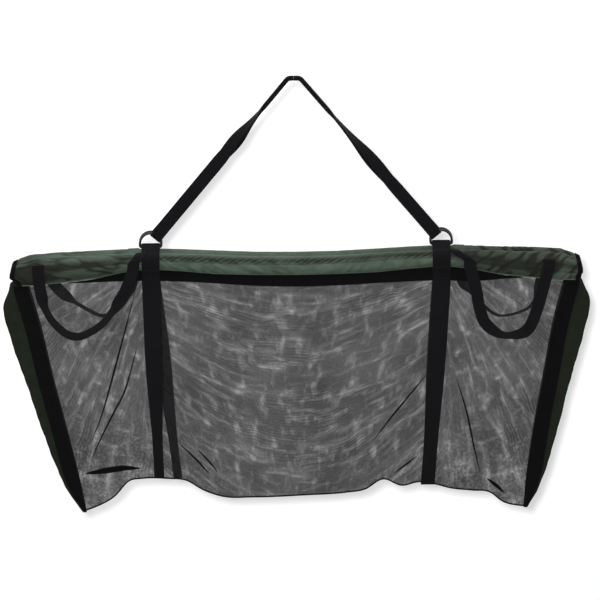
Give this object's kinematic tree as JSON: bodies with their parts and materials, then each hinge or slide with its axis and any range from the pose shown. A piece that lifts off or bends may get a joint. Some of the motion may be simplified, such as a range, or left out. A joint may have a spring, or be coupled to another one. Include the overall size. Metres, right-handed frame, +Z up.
{
  "type": "retainer sling",
  "caption": "Floating fish retainer sling: mesh bag with end gussets and a zipped mouth between float sleeves, hung from stacked weigh straps, with carrying handles.",
  "frame": {"origin": "middle of the flat underside of the rear weigh strap's grip, where a scale's hook bears", "axes": "+X along the mouth to the closed end of the zip, +Y to the rear half, +Z up with the sling hanging"},
  "size_m": [1.2368, 0.115, 0.9326],
  "materials": {
    "webbing": "black woven polypropylene webbing",
    "ring_wire": "black enamelled wire",
    "sleeve_cloth": "dark green coated polyester, slightly wrinkled",
    "gusset_cloth": "dark green coated polyester",
    "mesh": "black open nylon mesh",
    "binding": "black polyester binding",
    "foam": "closed-cell foam",
    "pole": "black glass-fibre rod",
    "ferrule": "plain tube",
    "zip": "black woven tape with moulded coil",
    "zip_metal": "black lacquered zinc"
  },
  "bodies": {
    "hook_strap": {"rear_weigh_strap": "webbing", "rear_d_ring_left": "ring_wire", "rear_d_ring_right": "ring_wire"},
    "rear_half": {"rear_sleeve": "sleeve_cloth", "rear_mesh_panel": "mesh", "rear_top_binding": "binding", "rear_zip_tape": "zip", "rear_pole_ferrule": "ferrule", "rear_sleeve_cap_left": "binding", "rear_float_left": "foam", "rear_pole_left": "pole", "rear_girth_strap_left": "webbing", "rear_side_band_left": "binding", "rear_gusset_left": "gusset_cloth", "rear_handle_left_outer_end": "webbing", "rear_handle_left_inner_end": "webbing", "rear_sleeve_cap_right": "binding", "rear_float_right": "foam", "rear_pole_right": "pole", "rear_girth_strap_right": "webbing", "rear_side_band_right": "binding", "rear_gusset_right": "gusset_cloth", "rear_handle_right_outer_end": "webbing", "rear_handle_right_inner_end": "webbing", "zip_stop_left": "zip_metal", "zip_stop_right": "zip_metal"},
    "front_half": {"front_sleeve": "sleeve_cloth", "front_mesh_panel": "mesh", "front_top_binding": "binding", "front_zip_tape": "zip", "front_pole_ferrule": "ferrule", "front_sleeve_cap_left": "binding", "front_float_left": "foam", "front_pole_left": "pole", "front_girth_strap_left": "webbing", "front_side_band_left": "binding", "front_gusset_left": "gusset_cloth", "front_handle_left_outer_end": "webbing", "front_handle_left_inner_end": "webbing", "front_sleeve_cap_right": "binding", "front_float_right": "foam", "front_pole_right": "pole", "front_girth_strap_right": "webbing", "front_side_band_right": "binding", "front_gusset_right": "gusset_cloth", "front_handle_right_outer_end": "webbing", "front_handle_right_inner_end": "webbing"},
    "front_strap": {"front_weigh_strap": "webbing", "front_d_ring_left": "ring_wire", "front_d_ring_right": "ring_wire"},
    "front_handle_left": {"front_handle_left": "webbing"},
    "front_handle_right": {"front_handle_right": "webbing"},
    "rear_handle_left": {"rear_handle_left": "webbing"},
    "rear_handle_right": {"rear_handle_right": "webbing"},
    "zip_slider": {"zip_slider": "zip_metal"},
    "zip_pull": {"zip_pull": "zip_metal"}
  },
  "joints": [
    {"name": "bag_swing", "type": "hinge", "parent": "hook_strap", "child": "rear_half", "pos_m": [0, 0.01, -0.35], "axis": [1, 0, 0], "range_deg": [0, 60]},
    {"name": "mouth_open", "type": "hinge", "parent": "rear_half", "child": "front_half", "pos_m": [0, 0, -0.9283], "axis": [1, 0, 0], "range_deg": [0, 6]},
    {"name": "front_strap_swing", "type": "hinge", "parent": "front_half", "child": "front_strap", "pos_m": [0, -0.01, -0.35], "axis": [1, 0, 0], "range_deg": [0, 60]},
    {"name": "front_handle_left_swing", "type": "hinge", "parent": "front_half", "child": "front_handle_left", "pos_m": [0, -0.0453, -0.39], "axis": [-1, 0, 0], "range_deg": [0, 175]},
    {"name": "front_handle_right_swing", "type": "hinge", "parent": "front_half", "child": "front_handle_right", "pos_m": [0, -0.0453, -0.39], "axis": [-1, 0, 0], "range_deg": [0, 175]},
    {"name": "rear_handle_left_swing", "type": "hinge", "parent": "rear_half", "child": "rear_handle_left", "pos_m": [0, 0.0453, -0.39], "axis": [1, 0, 0], "range_deg": [0, 175]},
    {"name": "rear_handle_right_swing", "type": "hinge", "parent": "rear_half", "child": "rear_handle_right", "pos_m": [0, 0.0453, -0.39], "axis": [1, 0, 0], "range_deg": [0, 175]},
    {"name": "zip_slide", "type": "slide", "parent": "rear_half", "child": "zip_slider", "axis": [-1, 0, 0], "range_m": [0, 1.064]},
    {"name": "pull_swing", "type": "hinge", "parent": "zip_slider", "child": "zip_pull", "pos_m": [0.532, 0, -0.3729], "axis": [0, 1, 0], "range_deg": [0, 170]}
  ]
}
